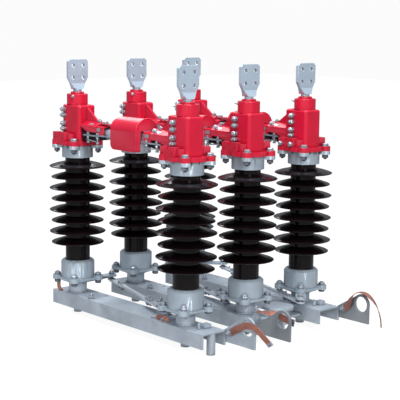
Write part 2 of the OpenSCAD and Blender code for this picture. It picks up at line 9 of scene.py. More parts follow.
import bmesh
import bpy
from mathutils import Matrix, Vector


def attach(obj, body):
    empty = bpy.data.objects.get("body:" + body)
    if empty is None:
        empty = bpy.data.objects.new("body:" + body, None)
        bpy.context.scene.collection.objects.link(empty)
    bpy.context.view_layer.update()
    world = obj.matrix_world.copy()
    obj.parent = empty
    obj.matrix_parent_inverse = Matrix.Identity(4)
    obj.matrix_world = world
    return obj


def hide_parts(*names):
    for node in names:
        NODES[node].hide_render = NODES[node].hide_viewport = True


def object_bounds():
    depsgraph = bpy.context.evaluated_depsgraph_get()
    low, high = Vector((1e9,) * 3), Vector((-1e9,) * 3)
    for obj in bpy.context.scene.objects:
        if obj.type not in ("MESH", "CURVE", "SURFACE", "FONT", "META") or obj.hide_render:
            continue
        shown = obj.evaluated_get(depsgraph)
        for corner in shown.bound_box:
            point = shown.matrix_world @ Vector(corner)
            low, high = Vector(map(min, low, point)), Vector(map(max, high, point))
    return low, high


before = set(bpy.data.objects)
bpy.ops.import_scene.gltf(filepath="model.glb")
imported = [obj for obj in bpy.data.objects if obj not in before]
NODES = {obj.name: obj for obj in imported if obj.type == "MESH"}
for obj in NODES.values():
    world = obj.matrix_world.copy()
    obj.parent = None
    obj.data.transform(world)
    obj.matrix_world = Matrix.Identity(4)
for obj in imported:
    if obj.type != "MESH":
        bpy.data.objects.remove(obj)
CAD_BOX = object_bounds()
MM = 0.001
POLES = (1, 2, 3)
FAR, NEAR = -1, 1
UP, DOWN = (0, 0, 1), (0, 0, -1)
COLUMNS = [(k, side) for k in POLES for side in (FAR, NEAR)]

# ---------------------------------------------------------------- sizes of the part, in millimetres
COLUMN_X = 300.0
POLE_PITCH = 260.0
AXIS_Z = 577.8
HOUSING_TOP = 667.3
COLLAR_TOP = 704.3
RING_TOP = 711.3
COLLAR_R = 36.0
BODY_FACE = 36.6
FLANGE_FACE = 543.0
BOLT_OFFSET = 51.5
UPPER_EAR_FOOT = 515.3
LOWER_EAR_TOP = 60.3
LOWER_EAR_FOOT = 44.3
LEVER_TOP = 45.3
ROD_Z = 26.0
HOOD_TIP = 152.0
COVER_HALF = 45.0
COVER_FOOT = 535.3
COVER_H = 108.0
COVER_REACH = 95.0
CHANNEL_HALF = 50.0
WEB_T = 5.0
TUBE_R = 32.0
PLATE_HOLE_X = 536.0
PLATE_HOLE_Z = 25.0
STRIP_W = 22.0
STRIP_T = 3.0

# how deep a washer beds in its face
BED = 0.2

# hexagons: width across flats, height, washer's radius
M5_SCREW = (9, 4.5, 5.4)
M6_SCREW = (10, 5, 6.0)
M6_NUT = (11, 6, 6.6)
M8_SCREW = (13, 6, 8.0)
M8_ROD_SCREW = (13, 6, 7.5)
M8_ROD_NUT = (13, 7, 7.5)
M8_BLOCK_SCREW = (14, 7, 8.5)
M10_SCREW = (16, 9, 9.6)
M12_FLANGE_SCREW = (19, 8, 12.5)
M12_EAR_SCREW = (19, 8, 12.0)
M12_EAR_NUT = (19, 11, 12.0)
M12_THIN_NUT = (19, 6.4, 12.0)


def side_name(side):
    return "far" if side == FAR else "near"


def tag(k, side):
    """The end of the names of what belongs to one column, such as near_2."""
    return "%s_%d" % (side_name(side), k)


def body_of(part, k):
    """The CAD body that carries a part of pole k; the middle pole has no joint."""
    return "frame" if k == 2 else "%s_%d" % (part, k)


def column_body(k, side):
    return body_of("%s_column" % side_name(side), k)


# ---------------------------------------------------------------- camera
CAM_POS = Vector((3.1868, -2.6846, 0.9660))
CAM_AZ = math.radians(49.34)
CAM_EL = math.radians(8.51)
CAM_ROLL = math.radians(0.69)
CAM_LENS = 108.7
CAM_SENSOR = 36.0
CAM_CLIP_END = 60.0


def make_camera():
    look = Vector((-math.sin(CAM_AZ) * math.cos(CAM_EL), math.cos(CAM_AZ) * math.cos(CAM_EL),
                   -math.sin(CAM_EL)))
    right = look.cross(Vector(UP)).normalized()
    up = right.cross(look).normalized()
    rolled_right = right * math.cos(CAM_ROLL) + up * math.sin(CAM_ROLL)
    rolled_up = up * math.cos(CAM_ROLL) - right * math.sin(CAM_ROLL)
    data = bpy.data.cameras.new("camera")
    data.lens = CAM_LENS
    data.sensor_width = CAM_SENSOR
    data.clip_end = CAM_CLIP_END
    cam = bpy.data.objects.new("camera", data)
    place = Matrix((rolled_right, rolled_up, -look)).transposed().to_4x4()
    place.translation = CAM_POS
    cam.matrix_world = place
    bpy.context.scene.collection.objects.link(cam)
    bpy.context.scene.camera = cam


make_camera()


# ---------------------------------------------------------------- materials
class Nodes:
    """A short way to write a material's node tree."""

    def __init__(self, name):
        self.mat = bpy.data.materials.new(name)
        self.mat.use_nodes = True
        self.tree = self.mat.node_tree
        self.bsdf = self.tree.nodes["Principled BSDF"]
        self.coord = self.tree.nodes.new("ShaderNodeTexCoord").outputs["Object"]

    def feed(self, value, socket):
        """Links another node's output to a socket, or sets a number or colour on it."""
        if hasattr(value, "is_linked"):
            self.tree.links.new(value, socket)
        elif socket.type == "RGBA":
            socket.default_value = (*value, 1)
        else:
            socket.default_value = value

    def fill(self, node, inputs):
        for name, value in inputs.items():
            self.feed(value, node.inputs[name.replace("_", " ")])
        return node

    def new(self, kind, **inputs):
        return self.fill(self.tree.nodes.new(kind), inputs)

    def noise(self, scale, detail, rough, distortion=0.0):
        n = self.new("ShaderNodeTexNoise", Vector=self.coord, Scale=scale, Detail=detail,
                     Roughness=rough, Distortion=distortion)
        return n.outputs["Fac"]

    def cells(self, scale):
        n = self.new("ShaderNodeTexVoronoi", Vector=self.coord, Scale=scale)
        return n.outputs["Color"]

    def pointiness(self):
        return self.new("ShaderNodeNewGeometry").outputs["Pointiness"]

    def ramp(self, value, *stops):
        """Two colours, each given with its place on the ramp."""
        n = self.new("ShaderNodeValToRGB", Fac=value)
        for element, (at, colour) in zip(n.color_ramp.elements, stops):
            element.position = at
            element.color = (*colour, 1)
        return n.outputs["Color"]

    def between(self, value, low, high, low_out, high_out):
        n = self.new("ShaderNodeMapRange")
        for i, x in enumerate((value, low, high, low_out, high_out)):
            self.feed(x, n.inputs[i])
        return n.outputs["Result"]

    def mix(self, factor, a, b, blend="MIX"):
        n = self.new("ShaderNodeMix")
        n.data_type = "RGBA"
        n.blend_type = blend
        # the colour form of this node has its factor at input 0 and its colours at 6 and 7
        for i, value in ((0, factor), (6, a), (7, b)):
            self.feed(value, n.inputs[i])
        return n.outputs[2]

    def product(self, a, b):
        n = self.new("ShaderNodeMath")
        n.operation = "MULTIPLY"
        self.feed(a, n.inputs[0])
        self.feed(b, n.inputs[1])
        return n.outputs[0]

    def bump(self, height, strength, distance, normal=None):
        n = self.new("ShaderNodeBump", Height=height, Strength=strength, Distance=distance)
        if normal:
            self.feed(normal, n.inputs["Normal"])
        return n.outputs["Normal"]

    def painted_crevice_shade(self, colour, dark, share):
        """Paints shade into the colour where faces stand within 12 mm of each other."""
        n = self.new("ShaderNodeAmbientOcclusion", Distance=0.012)
        n.samples = 8
        return self.mix(self.between(n.outputs["AO"], 0.35, 0.92, share, 0.0), colour, dark)

    def finish(self, **inputs):
        self.fill(self.bsdf, inputs)
        return self.mat


def metal(name, dark, light, metallic, rough, grain, bump, spangle=0.0):
    """Zinc or aluminium: patches of two greys, painted shade where faces stand close, fine grain in
    the roughness, and a light bump.
    """
    n = Nodes(name)
    grains = n.noise(grain, 5.0, 0.65)
    colour = n.ramp(n.noise(9.0, 4.0, 0.6, 0.4), (0.30, dark), (0.70, light))
    if spangle:
        flakes = n.new("ShaderNodeSeparateColor", Color=n.cells(190.0))
        shade = n.between(flakes.outputs[0], 0.0, 1.0, 1.0 - spangle, 1.0 + spangle * 0.4)
        tint = n.new("ShaderNodeCombineColor", Red=shade, Green=shade, Blue=shade)
        colour = n.mix(1.0, colour, tint.outputs[0], "MULTIPLY")
    # painted shade: a quarter of the dark grey where faces stand close
    colour = n.painted_crevice_shade(colour, tuple(c * 0.25 for c in dark), 0.7)
    return n.finish(Base_Color=colour, Metallic=metallic, Normal=n.bump(grains, bump, 0.0006),
                    Roughness=n.between(grains, 0.3, 0.7, *rough))


def red_paint():
    """Glossy red: slow patches, pale dust, a painted highlight on the edges, painted shade where
    faces stand close, a soft peel.
    """
    n = Nodes("red_paint")
    dust = n.noise(60.0, 5.0, 0.7)
    colour = n.ramp(n.noise(14.0, 3.0, 0.5), (0.30, (0.52, 0.003, 0.026)),
                    (0.72, (0.62, 0.005, 0.038)))
    colour = n.mix(n.between(dust, 0.62, 0.80, 0.0, 0.20), colour, (0.70, 0.04, 0.09))
    # painted highlight: pale pink on convex edges
    colour = n.mix(n.between(n.pointiness(), 0.52, 0.60, 0.0, 0.14), colour, (0.86, 0.20, 0.28))
    # painted shade: dark red where faces stand within 12 mm
    colour = n.painted_crevice_shade(colour, (0.20, 0.0, 0.010), 0.75)
    lumps = n.bump(n.noise(75.0, 3.0, 0.5), 0.10, 0.0012)
    peel = n.bump(n.noise(420.0, 2.0, 0.5), 0.04, 0.0005, lumps)
    return n.finish(Base_Color=colour, Roughness=n.between(dust, 0.3, 0.7, 0.30, 0.42), Normal=peel,
                    Coat_Weight=0.28, Coat_Roughness=0.10, Specular_IOR_Level=0.3)


def porcelain():
    """Near-black brown glaze, a little browner where it runs thin over an edge."""
    n = Nodes("brown_porcelain")
    body = n.ramp(n.noise(22.0, 3.0, 0.5), (0.3, (0.0030, 0.0018, 0.0024)),
                  (0.7, (0.0060, 0.0028, 0.0034)))
    thin = n.between(n.pointiness(), 0.50, 0.62, 0.0, 0.45)
    return n.finish(Base_Color=n.mix(thin, body, (0.016, 0.008, 0.009)), Roughness=0.20,
                    Normal=n.bump(n.noise(90.0, 2.0, 0.4), 0.04, 0.0008), Coat_Weight=0.08,
                    Coat_Roughness=0.05, Specular_IOR_Level=0.20)


def copper():
    """Woven braid: two crossed diagonal waves over the strip."""
    n = Nodes("copper_strap")
    waves = []
    for angle in (0.7, -0.7):
        turned = n.new("ShaderNodeMapping", Vector=n.coord, Rotation=(angle, angle * 0.6, angle))
        wave = n.new("ShaderNodeTexWave", Vector=turned.outputs[0], Scale=210.0, Distortion=0.6,
                     Detail=1.0)
        waves.append(wave.outputs["Fac"])
    weave = n.product(*waves)
    tarnish = n.noise(30.0, 4.0, 0.6)
    colour = n.ramp(tarnish, (0.3, (0.46, 0.185, 0.135)), (0.7, (0.66, 0.320, 0.250)))
    # darker where the two waves are low, in the weave's hollows
    colour = n.mix(n.between(weave, 0.0, 0.5, 0.35, 0.0), colour, (0.16, 0.04, 0.025))
    return n.finish(Base_Color=colour, Metallic=0.75, Normal=n.bump(weave, 0.5, 0.0009),
                    Roughness=n.between(tarnish, 0.3, 0.7, 0.36, 0.52))


def rubber():
    # black with a fine grain, for the block round each arm's root
    n = Nodes("black_rubber")
    grain = n.noise(300.0, 4.0, 0.6)
    colour = n.ramp(grain, (0.3, (0.006, 0.006, 0.008)), (0.7, (0.016, 0.016, 0.019)))
    return n.finish(Base_Color=colour, Roughness=n.between(grain, 0.3, 0.7, 0.50, 0.68),
                    Specular_IOR_Level=0.2, Normal=n.bump(grain, 0.15, 0.0006))


METALS = {
    "galvanised_steel": dict(dark=(0.35, 0.41, 0.47), light=(0.56, 0.62, 0.69), metallic=0.35,
                             rough=(0.42, 0.60), grain=120.0, bump=0.06, spangle=0.05),
    "cast_fittings": dict(dark=(0.40, 0.48, 0.55), light=(0.50, 0.58, 0.65), metallic=0.45,
                          rough=(0.38, 0.52), grain=220.0, bump=0.14),
    "zinc_contact": dict(dark=(0.55, 0.67, 0.79), light=(0.63, 0.75, 0.87), metallic=0.60,
                         rough=(0.30, 0.38), grain=60.0, bump=0.015),
    "rod_steel": dict(dark=(0.56, 0.61, 0.67), light=(0.72, 0.77, 0.83), metallic=0.50,
                      rough=(0.28, 0.46), grain=180.0, bump=0.08),
    "bolt_zinc": dict(dark=(0.36, 0.40, 0.46), light=(0.50, 0.55, 0.62), metallic=0.58,
                      rough=(0.24, 0.38), grain=300.0, bump=0.06),
    # a darker zinc, given to the earth plates other than pole 1's
    "darker_zinc": dict(dark=(0.22, 0.24, 0.265), light=(0.34, 0.365, 0.395), metallic=0.35,
                      rough=(0.42, 0.60), grain=120.0, bump=0.08, spangle=0.08),
    "bare_plate": dict(dark=(0.50, 0.54, 0.60), light=(0.62, 0.66, 0.72), metallic=0.85,
                       rough=(0.30, 0.42), grain=150.0, bump=0.05),
    # a darker copy of the steel as painted shade, for nuts facing down and a lug's hole
    "shaded_steel": dict(dark=(0.12, 0.13, 0.15), light=(0.22, 0.24, 0.27), metallic=0.50,
                       rough=(0.32, 0.50), grain=260.0, bump=0.12)}

MATS = {name: metal(name, **look) for name, look in METALS.items()}
MATS.update(red_paint=red_paint(), brown_porcelain=porcelain(), copper_strap=copper(),
            black_rubber=rubber())

# the first start that fits a CAD node's name gives its material
MATERIAL_OF = (
    ("insulator", "brown_porcelain"), ("fittings", "cast_fittings"), ("housing", "red_paint"),
    ("rain_cover", "red_paint"), ("jaw", "zinc_contact"), ("blade", "zinc_contact"),
    ("contacts", "zinc_contact"), ("terminal", "zinc_contact"), ("tie_rod", "rod_steel"),
    ("copper_strap", "copper_strap"), ("base", "galvanised_steel"),
    ("bearings", "galvanised_steel"), ("earth_plate_1", "galvanised_steel"),
    ("earth_plate", "darker_zinc"), ("crank", "galvanised_steel"), ("foot_tube", "galvanised_steel"))

# bevel widths in metres, by the start of the node's name
BEVEL_OF = {"base": 0.0014, "fittings": 0.0018, "housing": 0.0030, "rain_cover": 0.0012,
            "jaw": 0.0010, "blade": 0.0010, "contacts": 0.0010, "terminal": 0.0016,
            "tie_rod": 0.0008, "bearings": 0.0012, "earth_plate": 0.0008, "crank": 0.0012,
            "foot_tube": 0.0008, "copper_strap": 0.0006}
BEVEL_ANGLE = 28
TERMINAL_BEVEL_ANGLE = 12
CASTING_BEVEL = 0.0018
FOOT_FLANGE_BEVEL = 0.0008
SPLIT = 0.00002
FLAT_ANGLE = math.radians(0.6)


def soften(obj, width, segments=3, flat=True, angle=BEVEL_ANGLE):
    """Joins the mesh's split corners, makes flat faces whole, and rounds the edges."""
    join = obj.modifiers.new("join", "WELD")
    join.merge_threshold = SPLIT
    if flat:
        whole = obj.modifiers.new("whole", "DECIMATE")
        whole.decimate_type = "DISSOLVE"
        whole.angle_limit = FLAT_ANGLE
    edge = obj.modifiers.new("round", "BEVEL")
    edge.width = width
    edge.segments = segments
    edge.limit_method = "ANGLE"
    edge.angle_limit = math.radians(angle)
    edge.use_clamp_overlap = True
    normals = obj.modifiers.new("even", "WEIGHTED_NORMAL")
    normals.mode = "FACE_AREA"
    normals.weight = 80
    normals.keep_sharp = False


def dress_nodes():
    """Gives each CAD node its material and its rounded edges."""
    for name, obj in NODES.items():
        for start, slot in MATERIAL_OF:
            if name.startswith(start):
                obj.data.materials.clear()
                obj.data.materials.append(MATS[slot])
                break
        for start, width in BEVEL_OF.items():
            if name.startswith(start):
                terminal = start == "terminal"
                soften(obj, width, angle=TERMINAL_BEVEL_ANGLE if terminal else BEVEL_ANGLE)


dress_nodes()


# ---------------------------------------------------------------- building kit
def finished(bm, name, body, slot, material, sharp=34, edge=0.0, segments=2):
    """Turns a bmesh into an object with its material that rides on a CAD body; the slot is not
    used.
    """
    mesh = bpy.data.meshes.new(name)
    bm.to_mesh(mesh)
    bm.free()
    mesh.polygons.foreach_set("use_smooth", [True] * len(mesh.polygons))
    mesh.set_sharp_from_angle(angle=math.radians(sharp))
    mesh.materials.append(MATS[material])
    obj = bpy.data.objects.new(name, mesh)
    bpy.context.scene.collection.objects.link(obj)
    if edge:
        soften(obj, edge, segments, flat=False)
    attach(obj, body)
    return obj


def circle(r, sides, turn=0.0):
    """Points of a circle about the origin, as pairs."""
    angles = [turn + 2 * math.pi * i / sides for i in range(sides)]
    return [(r * math.cos(a), r * math.sin(a)) for a in angles]


def rounded(half_w, half_h, r, step):
    """A rectangle about the origin with corners of radius r, in steps of some degrees, as pairs."""
    points = []
    for sx, sy, start in ((1, 1, 0), (-1, 1, 90), (-1, -1, 180), (1, -1, 270)):
        for degrees in range(start, start + 91, step):
            a = math.radians(degrees)
            points.append((sx * (half_w - r) + r * math.cos(a),
                           sy * (half_h - r) + r * math.sin(a)))
    return points


class Piece:
    """Collects shapes given in a pole's own millimetres and makes one object of them."""

    def __init__(self, k):
        self.bm = bmesh.new()
        self.y = (k - 2) * POLE_PITCH

    def vert(self, p):
        return self.bm.verts.new((p[0] * MM, (p[1] + self.y) * MM, p[2] * MM))

    def loft(self, rings):
        """Closed skin over rings of equal length."""
        rows = [[self.vert(p) for p in ring] for ring in rings]
        n = len(rows[0])
        for a, b in zip(rows, rows[1:]):
            for i in range(n):
                self.bm.faces.new((a[i], a[(i + 1) % n], b[(i + 1) % n], b[i]))
        self.bm.faces.new(rows[0][::-1])
        self.bm.faces.new(rows[-1])

    def turned(self, at, axis, profile, sides=24, turn=0.0):
        """A turned solid: the profile holds (radius, height along the axis) pairs."""
        basis = Vector(axis).normalized().to_track_quat("Z", "Y").to_matrix()
        at = Vector(at)
        self.loft([[at + basis @ Vector((x, y, height)) for x, y in circle(radius, sides, turn)]
                   for radius, height in profile])

    def slab(self, outline, thickness):
        """A flat outline, given as 3-D points, thickened along a vector."""
        t = Vector(thickness)
        self.loft([[Vector(p) for p in outline], [Vector(p) + t for p in outline]])

    def tube(self, route, radius, sides):
        """A round bar along a route."""
        points = [Vector(p) for p in route]
        rings = []
        for i, p in enumerate(points):
            along = (points[min(i + 1, len(points) - 1)] - points[max(i - 1, 0)]).normalized()
            basis = along.to_track_quat("Z", "Y").to_matrix()
            rings.append([p + basis @ Vector((x, y, 0)) for x, y in circle(radius, sides)])
        self.loft(rings)

    def washer(self, at, axis, radius):
        self.turned(at, axis, [(radius - 0.5, 0), (radius, 0.4), (radius, 1.6),
                               (radius - 0.5, 2.0)], 28)

    def stud(self, at, axis, radius, height):
        """A threaded end: fine ridges and a chamfered tip."""
        profile = [(radius, 0)]
        z = 0.6
        while z < height - 1.2:
            profile += [(radius, z), (radius - 0.7, z + 0.7)]
            z += 1.4
        self.turned(at, axis, profile + [(radius, height - 0.9), (radius - 1.0, height)], 16)

    def hexagon(self, at, axis, flats, height, turn):
        """A hexagonal head or nut with its corners turned off at both ends."""
        r = flats / math.sqrt(3)
        self.turned(at, axis, [(r * 0.90, 0), (r, height * 0.14), (r, height * 0.82),
                               (r * 0.84, height)], 6, turn)

    def bolt(self, at, axis, size, stud=0.0, turn=0.0):
        """Washer, hexagon and the stud's end, from a face outwards."""
        flats, height, washer = size
        a = Vector(axis).normalized()
        at = Vector(at)
        self.washer(at, a, washer)
        self.hexagon(at + a * 1.8, a, flats, height, turn)
        if stud:
            self.stud(at + a * (1.6 + height), a, flats * 0.29, stud)

    def done(self, name, body, slot, material, **look):
        bmesh.ops.recalc_face_normals(self.bm, faces=self.bm.faces)
        return finished(self.bm, name, body, slot, material, **look)


# ---------------------------------------------------------------- head castings
SHOULDER_R = 7.0
COLLAR_EDGE_R = 2.2
CASTING_CORNER = math.radians(50)


def castings(k):
    """Each housing node of a pole, with the name of its casting and the body it rides on."""
    if k == 2:
        return [("housings_2", "head_castings_2", "frame")]
    return [("housing_" + tag(k, side), "head_casting_" + tag(k, side), column_body(k, side))
            for side in (FAR, NEAR)]


def round_rims(bm, heights, radius, segments):
    """Rounds the outer edges that lie level at the given heights."""
    def level(e):
        return any(all(abs(v.co.z / MM - z) < 0.3 for v in e.verts) for z in heights)

    def corner(e):
        return len(e.link_faces) == 2 and e.calc_face_angle(0.0) > CASTING_CORNER and e.is_convex

    edges = [e for e in bm.edges if level(e) and corner(e)]
    bmesh.ops.bevel(bm, geom=edges, offset=radius * MM, offset_type="OFFSET", segments=segments,
                    profile=0.5, affect="EDGES", clamp_overlap=False)


def casting(node, name, body):
    """A head housing with the soft shoulders, fillets and edges of a painted casting."""
    bm = bmesh.new()
    bm.from_mesh(NODES[node].data)
    bmesh.ops.remove_doubles(bm, verts=bm.verts, dist=SPLIT)
    bmesh.ops.dissolve_limit(bm, angle_limit=FLAT_ANGLE, verts=bm.verts, edges=bm.edges)
    round_rims(bm, (HOUSING_TOP,), SHOULDER_R, 5)
    round_rims(bm, (COLLAR_TOP, RING_TOP), COLLAR_EDGE_R, 3)
    obj = finished(bm, name, body, "red_paint", "red_paint", edge=CASTING_BEVEL, segments=3)
    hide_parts(node)


for pole in POLES:
    for cad_node, casting_name, carrier in castings(pole):
        casting(cad_node, casting_name, carrier)


# ---------------------------------------------------------------- fasteners of the heads
# x from the column's axis, and heights, of the row of clamping screws on each face
FRONT_ROW = {FAR: (-28.0, (650, 630, 601, 583)), NEAR: (-23.0, (646, 625, 598, 579.5))}
BACK_ROW_HEIGHTS = (650, 630, 603, 584)
# the flange's fourth corner, towards the front and -X, has no screw of its own
FLANGE_SCREWS = ((1, -1), (1, 1), (-1, 1))
BLOCK_SCREW_XS = (-49, -1)
BLOCK_FACE_V = -62.2
BLOCK_SCREW_Z = 551.3
SET_SCREW_Z = 697.0
SET_SCREW_TURN = {FAR: math.radians(-60), NEAR: math.radians(-131)}
SET_SCREW_HEAD = [(5.4, 0), (5.4, 1.0), (4.6, 1.4), (4.6, 4.2), (3.4, 5.4)]
SET_SCREW_TIP = [(2.4, 0), (2.4, 4.5), (1.6, 5.5)]
SET_SCREW_TIP_FOOT = 5


def set_screw(piece, side):
    """The screw that clamps the terminal's stem in the collar."""
    turn = SET_SCREW_TURN[side]
    out = Vector((math.cos(turn), math.sin(turn), 0))
    foot = Vector((side * COLUMN_X, 0, SET_SCREW_Z)) + out * COLLAR_R
    piece.turned(foot, out, SET_SCREW_HEAD, 20)
    if side == NEAR:
        piece.turned(foot + out * SET_SCREW_TIP_FOOT, out, SET_SCREW_TIP, 12)


def head_bolts(k, side):
    """Clamping screws on both faces, flange screws, and the collar's set screw."""
    cx = side * COLUMN_X
    piece = Piece(k)
    row, front_heights = FRONT_ROW[side]
    for face, heights in ((-1, front_heights), (1, BACK_ROW_HEIGHTS)):
        for i, z in enumerate(heights):
            piece.bolt((cx + row, face * BODY_FACE, z), (0, face, 0), M10_SCREW, 6, 0.3 + i * 0.5)
    for i, (sx, sy) in enumerate(FLANGE_SCREWS):
        piece.bolt((cx + sx * BOLT_OFFSET, sy * BOLT_OFFSET, FLANGE_FACE), UP, M12_FLANGE_SCREW,
                   turn=0.2 + i * 0.4)
    if k == 3 and side == NEAR:
        for x in BLOCK_SCREW_XS:
            piece.bolt((cx + x, BLOCK_FACE_V, BLOCK_SCREW_Z), (0, -1, 0), M8_BLOCK_SCREW, turn=0.4)
    set_screw(piece, side)
    piece.done("head_bolts_" + tag(k, side), column_body(k, side), "zinc_contact", "bolt_zinc")


# ---------------------------------------------------------------- fasteners of the ears
PIN_FOOT = [(8.5, 0), (9, 0.5), (9, 8.2), (8.2, 9)]
PIN_HEAD = [(8.2, 0), (9, 0.6), (9, 6), (8, 7)]
PIN_HEAD_LIFT = 9


def ear_nuts(k, side):
    """Nuts under the upper ears, bolts through the lower ears; the nuts facing down are in the
    darker steel as painted shade.
    """
    cx = side * COLUMN_X
    # painted shade: nuts facing down go in the darker steel, bolts facing up in the lighter zinc
    dark = Piece(k)
    light = Piece(k)
    # a tie rod never passes below the ears of these columns
    free_below = k == 2 or (k == 1 and side == FAR)
    for sx in (-1, 1):
        for sy in (-1, 1):
            x, v = cx + sx * BOLT_OFFSET, sy * BOLT_OFFSET
            pin_ear = side == NEAR and sx > 0 and sy < 0
            lever_ear = k == 3 and sx > 0 and sy == -side
            dark.bolt((x, v, UPPER_EAR_FOOT + BED), DOWN, M12_EAR_NUT, 4, 0.5)
            light.bolt((x, v, LOWER_EAR_TOP - BED), UP, M12_EAR_SCREW, 3 if sx == sy else 0, 0.9)
            if pin_ear:
                light.turned((x, v, LOWER_EAR_FOOT + 0.3), DOWN, PIN_FOOT)
                light.turned((x, v, LOWER_EAR_TOP + PIN_HEAD_LIFT), UP, PIN_HEAD)
            elif not lever_ear:
                dark.bolt((x, v, LOWER_EAR_FOOT + BED), DOWN,
                          M12_EAR_NUT if free_below else M12_THIN_NUT, turn=0.1)
    body = column_body(k, side)
    dark.done("ear_nuts_" + tag(k, side), body, "cast_fittings", "shaded_steel")
    light.done("ear_bolts_" + tag(k, side), body, "cast_fittings", "bolt_zinc")


# ---------------------------------------------------------------- lower flanges
FOOT_FLANGE_HALF = BOLT_OFFSET + 11.0
FOOT_FLANGE_R = 12.5
FOOT_FLANGE_Z = LOWER_EAR_FOOT + 2.6
FOOT_FLANGE_T = 8.6


def foot_flange(k, side):
    """The flat flange whose straight edges join a lower cup's four ears."""
    outline = rounded(FOOT_FLANGE_HALF, FOOT_FLANGE_HALF, FOOT_FLANGE_R, 15)
    flange = Piece(k)
    flange.slab([(side * COLUMN_X + x, v, FOOT_FLANGE_Z) for x, v in outline],
                (0, 0, FOOT_FLANGE_T))
    flange.done("foot_flange_" + tag(k, side), column_body(k, side), "cast_fittings",
                "cast_fittings", edge=FOOT_FLANGE_BEVEL)


for pole, end in COLUMNS:
    foot_flange(pole, end)


# ---------------------------------------------------------------- arms
# sections of the black block round the arm's root: distance from the column's axis, half width,
# lower and upper edge
BLACK_BLOCK = ((60.5, 22, 544.2, 583), (64, 23.2, 544.2, 586), (92, 23.2, 545, 587),
        (118, 23, 549, 587), (150, 21.6, 553, 586), (176, 21.2, 556, 584), (184, 20.4, 558, 580),
        (186, 19.2, 559.5, 577))
BLACK_BLOCK_R = 5.0
# the strips' ends as (distance, height), the lower strip's ends, and the screws between them
UPPER_STRIP = {FAR: ((78, 568.0), (199, 571.0)), NEAR: ((99, 568.5), (200, 570.5))}
LOWER_STRIP = {FAR: (96, 150), NEAR: (108, 182)}
LOWER_STRIP_HEIGHTS = (554.5, 551.5, 550.0)
UPPER_STRIP_WAVE = 0.8
# each strip's section: v of its two faces, and half its thickness
UPPER_STRIP_SECTION = (-31, -23.4, 2.2)
LOWER_STRIP_SECTION = (-30, -23.2, 1.8)
STRIP_SCREWS = {FAR: (104, 158), NEAR: (118, 172)}
STRIP_SCREW_V = -27.0
STRIP_SCREW_FOOT = 550.0
STRIP_SCREW_SHANK = [(3.0, 0), (3.0, 26)]
# height, direction, size and turn of the hexagons on each of these screws
STRIP_HEXAGONS = ((572.6, UP, M6_SCREW, 0.3), (566.4, DOWN, M6_NUT, 0.5),
                  (549.6, DOWN, M6_SCREW, 0.2))
BARE_PLATES = {FAR: (112, 159), NEAR: (120, 172)}
HOOD_PLATE_V, HOOD_PLATE_Z = -20.0, AXIS_Z + 28.6
CLAMP_PLATE_V, CLAMP_PLATE_Z = -27.1, AXIS_Z + 13
PLATE_HALF_W, PLATE_HALF_H, PLATE_R, PLATE_T, PLATE_BED = 12.0, 6.0, 2.5, 1.0, 0.4
RIDGE_NUT = (134, 0, AXIS_Z + 36.6)
SLOPE_NUT = (141, -18, AXIS_Z + 29.2)
# directions up the hood's front slope and square to it
HOOD_SLOPE = Vector((0, 26, 14)).normalized()
HOOD_NORMAL = Vector((0, -14, 26)).normalized()


def arm_point(side, u, v, z):
    """A point of an arm, u from its column's axis towards the middle of the pole."""
    return (side * (COLUMN_X - u), v, z)


def arm_black_block(k, side):
    """A black rounded block round the arm's root."""
    boot = Piece(k)
    rings = []
    for u, half, low, high in BLACK_BLOCK:
        section = rounded(half, (high - low) / 2, BLACK_BLOCK_R, 30)
        rings.append([arm_point(side, u, v, (low + high) / 2 + h) for v, h in section])
    boot.loft(rings)
    boot.done("arm_black_block_" + tag(k, side), column_body(k, side), "cast_fittings", "black_rubber",
              sharp=40)


def arm_bar(piece, side, line, section):
    """A flat bar beside the arm, along a line of (u, z) points."""
    v0, v1, half_t = section
    corners = ((v0, -half_t), (v1, -half_t), (v1, half_t), (v0, half_t))
    piece.loft([[arm_point(side, u, v, z + h) for v, h in corners] for u, z in line])


def contact_strips(k, side):
    """The two silver strips before the arm, the upper one slightly wavy, and their screws."""
    strips = Piece(k)
    (u0, z0), (u1, z1) = UPPER_STRIP[side]
    shares = [i / 8 for i in range(9)]
    upper = [(u0 + (u1 - u0) * t,
              z0 + (z1 - z0) * t + UPPER_STRIP_WAVE * math.sin(t * math.pi * 3)) for t in shares]
    arm_bar(strips, side, upper, UPPER_STRIP_SECTION)
    first, last = LOWER_STRIP[side]
    lower = zip((first, (first + last) / 2, last), LOWER_STRIP_HEIGHTS)
    arm_bar(strips, side, lower, LOWER_STRIP_SECTION)
    for u in STRIP_SCREWS[side]:
        strips.turned(arm_point(side, u, STRIP_SCREW_V, STRIP_SCREW_FOOT), UP, STRIP_SCREW_SHANK,
                      12)
        for z, way, size, turn in STRIP_HEXAGONS:
            strips.bolt(arm_point(side, u, STRIP_SCREW_V, z), way, size, turn=turn)
    strips.done("contact_strips_" + tag(k, side), column_body(k, side), "zinc_contact",
                "bolt_zinc")


def arm_plates(k, side):
    """Bare plates where the product has stickers, on the hood's slope or the clamp's face."""
    plates = Piece(k)
    for u in BARE_PLATES[side]:
        if u < HOOD_TIP:
            middle = Vector(arm_point(side, u, HOOD_PLATE_V, HOOD_PLATE_Z))
            across, face = HOOD_SLOPE, HOOD_NORMAL
        else:
            middle = Vector(arm_point(side, u, CLAMP_PLATE_V, CLAMP_PLATE_Z))
            across, face = Vector(UP), Vector((0, -1, 0))
        outline = [middle + Vector((w, 0, 0)) + across * h - face * PLATE_BED
                   for w, h in rounded(PLATE_HALF_W, PLATE_HALF_H, PLATE_R, 45)]
        plates.slab(outline, face * PLATE_T)
    plates.done("arm_plates_" + tag(k, side), column_body(k, side), "zinc_contact", "bare_plate")


